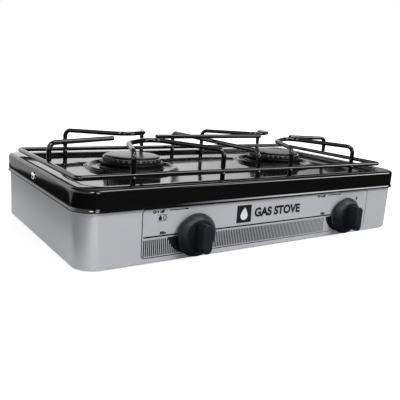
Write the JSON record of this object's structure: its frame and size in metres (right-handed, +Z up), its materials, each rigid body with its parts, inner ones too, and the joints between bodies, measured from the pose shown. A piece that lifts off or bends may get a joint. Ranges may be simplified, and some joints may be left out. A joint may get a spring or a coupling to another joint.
{
  "type": "tabletop gas stove",
  "caption": "Low tabletop gas stove: silver casing, black enamelled top with round burners, lift-off wire grate and front knobs that push and turn.",
  "frame": {"origin": "centre of the overall bounding box, on the table plane under the feet", "axes": "+X to the stove's right as seen from the front (its longest extent), +Y to the rear, +Z up; the knobs face -Y"},
  "size_m": [0.5354, 0.34, 0.1352],
  "materials": {
    "silver_paint": "satin metallic paint",
    "black_enamel": "glossy vitreous enamel",
    "zinc_steel": "zinc coated sheet and tube",
    "burner_black": "matt heat-proof black",
    "brass": "turned",
    "bright_screw": "bright plated",
    "knob_plastic": "fine-grained dark grey plastic",
    "rubber": "matt"
  },
  "bodies": {
    "stove": {"casing_wrap": "silver_paint", "rear_panel": "zinc_steel", "top_panel": "black_enamel", "side_screw_left": "bright_screw", "side_screw_right": "bright_screw", "rear_screw_1": "bright_screw", "rear_screw_2": "bright_screw", "rear_screw_3": "bright_screw", "rear_screw_4": "bright_screw", "base_rail_left": "zinc_steel", "foot_front_left": "rubber", "foot_rear_left": "rubber", "burner_cup_left": "burner_black", "port_ring_left": "burner_black", "burner_clamp_left": "zinc_steel", "mixing_tube_left": "zinc_steel", "tap_body_left": "brass", "injector_left": "brass", "base_rail_right": "zinc_steel", "foot_front_right": "rubber", "foot_rear_right": "rubber", "burner_cup_right": "burner_black", "port_ring_right": "burner_black", "burner_clamp_right": "zinc_steel", "mixing_tube_right": "zinc_steel", "tap_body_right": "brass", "injector_right": "brass", "supply_pipe": "zinc_steel", "inlet_barb": "brass", "pipe_bracket_1": "zinc_steel", "pipe_bracket_2": "zinc_steel"},
    "grate": {"grate_frame": "black_enamel", "grate_bridge": "black_enamel", "grate_cross_rod": "black_enamel", "grate_finger_left": "black_enamel", "grate_finger_right": "black_enamel", "grate_hairpin_front_left": "black_enamel", "grate_hairpin_front_right": "black_enamel", "grate_hairpin_rear_left": "black_enamel", "grate_hairpin_rear_right": "black_enamel"},
    "burner_cap_left": {"burner_cap_left": "black_enamel"},
    "tap_plunger_left": {"tap_plunger_left": "brass"},
    "knob_left": {"knob_left": "knob_plastic", "tap_stem_left": "brass"},
    "burner_cap_right": {"burner_cap_right": "black_enamel"},
    "tap_plunger_right": {"tap_plunger_right": "brass"},
    "knob_right": {"knob_right": "knob_plastic", "tap_stem_right": "brass"}
  },
  "joints": [
    {"name": "knob_push_left", "type": "slide", "parent": "stove", "child": "tap_plunger_left", "axis": [0, 1, 0], "range_m": [0, 0.003], "stiffness_N_per_m": 1200, "springref_m": -0.003},
    {"name": "knob_turn_left", "type": "hinge", "parent": "tap_plunger_left", "child": "knob_left", "pos_m": [-0.118, -0.144, 0.0325], "axis": [0, -1, 0], "range_deg": [0, 150]},
    {"name": "cap_lift_left", "type": "slide", "parent": "stove", "child": "burner_cap_left", "axis": [0, 0, 1], "range_m": [0, 0.018]},
    {"name": "knob_push_right", "type": "slide", "parent": "stove", "child": "tap_plunger_right", "axis": [0, 1, 0], "range_m": [0, 0.003], "stiffness_N_per_m": 1200, "springref_m": -0.003},
    {"name": "knob_turn_right", "type": "hinge", "parent": "tap_plunger_right", "child": "knob_right", "pos_m": [0.146, -0.144, 0.0325], "axis": [0, -1, 0], "range_deg": [0, 150]},
    {"name": "cap_lift_right", "type": "slide", "parent": "stove", "child": "burner_cap_right", "axis": [0, 0, 1], "range_m": [0, 0.018]},
    {"name": "grate_lift", "type": "slide", "parent": "stove", "child": "grate", "axis": [0, 0, 1], "range_m": [0, 0.1]}
  ]
}
